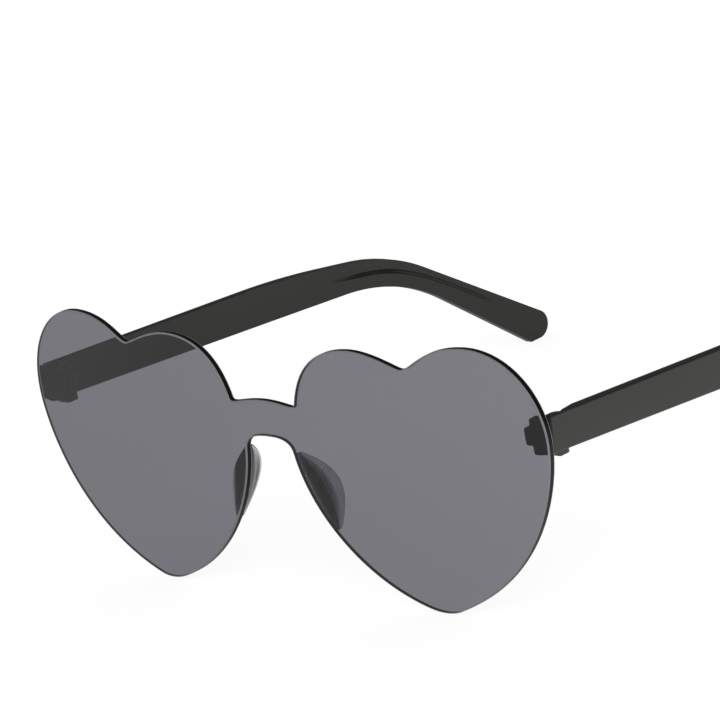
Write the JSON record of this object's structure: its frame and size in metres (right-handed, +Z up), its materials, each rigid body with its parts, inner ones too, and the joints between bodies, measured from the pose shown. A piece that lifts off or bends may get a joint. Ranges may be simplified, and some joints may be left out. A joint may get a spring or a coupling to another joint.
{
  "type": "rimless shield sunglasses",
  "caption": "Rimless sunglasses with a smoke tinted one piece lens cut as two hearts and two folding temples.",
  "frame": {"origin": "on the table plane, under the middle of the bounding box of the open glasses", "axes": "+X towards the wearer's left, +Y from the lens back towards the ears, +Z up from the table the open glasses stand on"},
  "size_m": [0.15, 0.1536, 0.0573],
  "materials": {
    "lens": "clear smoke tint, polished",
    "nose_pads": "translucent smoke grey, smooth",
    "frame_plastic": "dark olive grey, semi gloss",
    "screw_steel": "plain steel"
  },
  "bodies": {
    "front": {"shield_lens": "lens", "nose_pad_left": "nose_pads", "nose_pad_right": "nose_pads", "endpiece_left": "frame_plastic", "endpiece_right": "frame_plastic", "hinge_screw_left": "screw_steel", "hinge_screw_right": "screw_steel"},
    "left_temple": {"temple_left": "frame_plastic"},
    "right_temple": {"temple_right": "frame_plastic"}
  },
  "joints": [
    {"name": "left_hinge", "type": "hinge", "parent": "front", "child": "left_temple", "pos_m": [0.07185, -0.06429, 0.038], "axis": [0, 0, 1], "range_deg": [0, 90]},
    {"name": "right_hinge", "type": "hinge", "parent": "front", "child": "right_temple", "pos_m": [-0.07185, -0.06429, 0.038], "axis": [0, 0, -1], "range_deg": [0, 84]}
  ]
}
